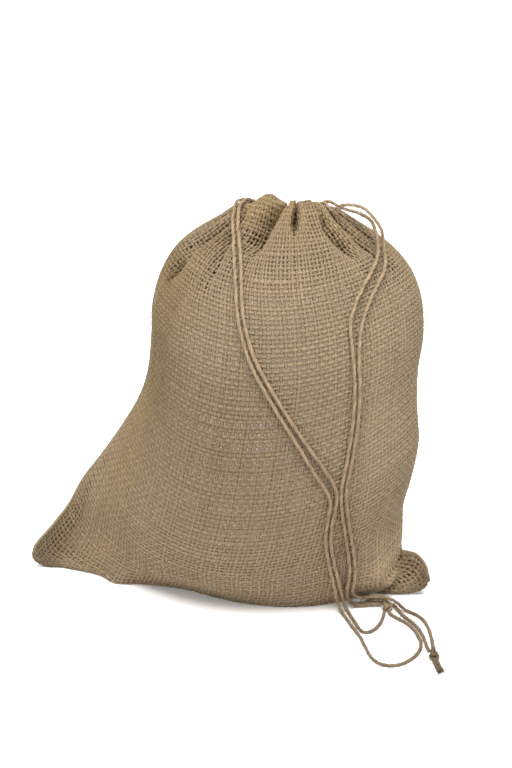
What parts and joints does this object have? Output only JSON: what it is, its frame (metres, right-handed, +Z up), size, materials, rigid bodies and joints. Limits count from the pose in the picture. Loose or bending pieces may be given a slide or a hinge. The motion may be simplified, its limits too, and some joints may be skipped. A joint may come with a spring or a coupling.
{
  "type": "hessian sack",
  "caption": "Filled hessian drawstring sack standing on its base, its mouth drawn shut by jute strings that run down the front to knots on the surface.",
  "frame": {"origin": "on the surface under the middle of the bag", "axes": "+Z up, +X from the left ear to the right ear as seen from the front, the front faces -Y"},
  "size_m": [0.2765, 0.176, 0.2453],
  "materials": {
    "hessian": "coarse open plain weave, matte",
    "jute_twine": "twisted natural jute, matte"
  },
  "bodies": {
    "root": {"sack": "hessian", "string_left_a": "jute_twine", "string_left_b": "jute_twine", "string_right_a": "jute_twine", "string_right_b": "jute_twine", "knot_left": "jute_twine", "knot_right": "jute_twine"}
  },
  "joints": []
}
